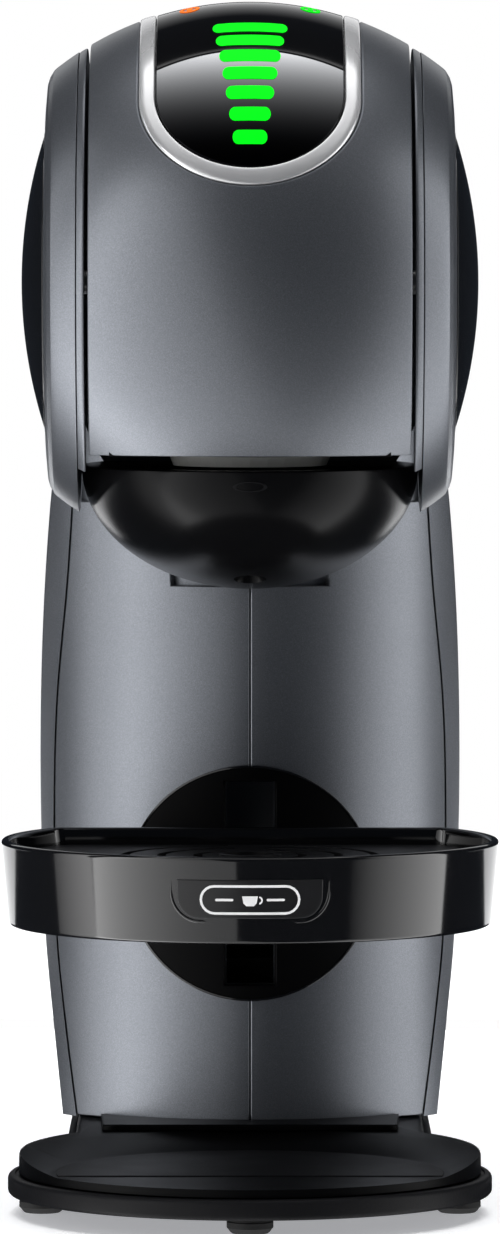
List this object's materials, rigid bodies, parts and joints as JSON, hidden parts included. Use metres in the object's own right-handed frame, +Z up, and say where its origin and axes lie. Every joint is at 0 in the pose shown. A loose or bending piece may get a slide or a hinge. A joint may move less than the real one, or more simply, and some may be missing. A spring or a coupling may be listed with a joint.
{
  "type": "pod coffee machine",
  "caption": "Pod coffee machine with a drum-shaped head, lift-up locking lever with a touch display, sliding capsule drawer, height-adjustable drip tray, round base and lift-off water tank.",
  "frame": {"origin": "middle of the footprint, on the surface the machine stands on", "axes": "+Z up, the display and tray face -Y, +X to the right as seen from the front"},
  "size_m": [0.1234, 0.273, 0.3],
  "materials": {
    "grey_paint": "satin metallic space-grey paint over moulded plastic",
    "gloss_black": "high gloss black",
    "satin_black": "satin black, finely textured",
    "chrome": "bright chrome plating on a trim ring",
    "rubber": "matte black",
    "smoke": "smoked see-through plastic",
    "steel": "bare steel",
    "silicone": "translucent white silicone",
    "board": "green circuit board",
    "boiler": "as cast"
  },
  "bodies": {
    "machine_body": {"base_band": "satin_black", "base_cover": "gloss_black", "base_tongue": "satin_black", "foot_front": "rubber", "foot_left": "rubber", "foot_right": "rubber", "foot_rear_left": "rubber", "foot_rear_right": "rubber", "base_screw_1": "steel", "base_screw_2": "steel", "base_screw_3": "steel", "base_screw_4": "steel", "column_front_left": "grey_paint", "column_front_right": "grey_paint", "rear_housing": "grey_paint", "tray_mount": "satin_black", "side_band_left": "grey_paint", "side_band_right": "grey_paint", "side_cap_left": "gloss_black", "side_cap_right": "gloss_black", "head_chassis": "satin_black", "pivot_pin_left": "steel", "pivot_pin_right": "steel", "tank_seat": "satin_black", "tank_seal": "silicone", "cord_gland": "rubber", "inner_frame": "steel", "water_pump": "satin_black", "pump_mount_front": "rubber", "pump_mount_rear": "rubber", "thermoblock": "boiler", "flow_meter": "silicone", "control_board": "board", "power_board": "board", "inlet_hose": "silicone", "pressure_hose": "silicone", "brew_hose": "silicone"},
    "locking_lever": {"lever_shell": "grey_paint", "lever_frame": "satin_black", "display_bezel": "chrome", "display_front": "gloss_black", "display_top": "gloss_black", "touch_board": "board"},
    "needle_carrier": {"needle_plate": "satin_black", "plate_seal": "silicone", "piercing_needle": "steel"},
    "capsule_drawer": {"capsule_holder": "gloss_black"},
    "tray_carrier": {"tray_bracket": "satin_black"},
    "drip_tray": {"drip_tray": "gloss_black"},
    "drip_grid": {"drip_grid": "satin_black"},
    "water_tank": {"water_tank": "smoke"},
    "tank_lid": {"tank_lid": "satin_black"},
    "tank_valve": {"tank_valve": "silicone"}
  },
  "joints": [
    {"name": "lever_hinge", "type": "hinge", "parent": "machine_body", "child": "locking_lever", "pos_m": [0, -0.05, 0.23], "axis": [-1, 0, 0], "range_deg": [0, 52]},
    {"name": "needle_lift", "type": "slide", "parent": "machine_body", "child": "needle_carrier", "axis": [0, 0, 1], "range_m": [0, 0.006]},
    {"name": "drawer_slide", "type": "slide", "parent": "machine_body", "child": "capsule_drawer", "axis": [0, -1, 0], "range_m": [0, 0.08]},
    {"name": "tray_height", "type": "slide", "parent": "machine_body", "child": "tray_carrier", "axis": [0, 0, 1], "range_m": [-0.018, 0.018]},
    {"name": "tray_pull", "type": "slide", "parent": "tray_carrier", "child": "drip_tray", "axis": [0, -1, 0], "range_m": [0, 0.08]},
    {"name": "grid_lift", "type": "slide", "parent": "drip_tray", "child": "drip_grid", "axis": [0, 0, 1], "range_m": [0, 0.035]},
    {"name": "tank_lift", "type": "slide", "parent": "machine_body", "child": "water_tank", "axis": [0, 0, 1], "range_m": [0, 0.1]},
    {"name": "tank_lid_hinge", "type": "hinge", "parent": "water_tank", "child": "tank_lid", "pos_m": [0, 0.133, 0.2403], "axis": [-1, 0, 0], "range_deg": [0, 90]},
    {"name": "tank_valve_slide", "type": "slide", "parent": "water_tank", "child": "tank_valve", "axis": [0, 0, 1], "range_m": [0, 0.003], "stiffness_N_per_m": 150}
  ],
  "couplings": [
    {"joint": "needle_lift", "follows": "lever_hinge", "m_per_rad": 0.0066}
  ]
}
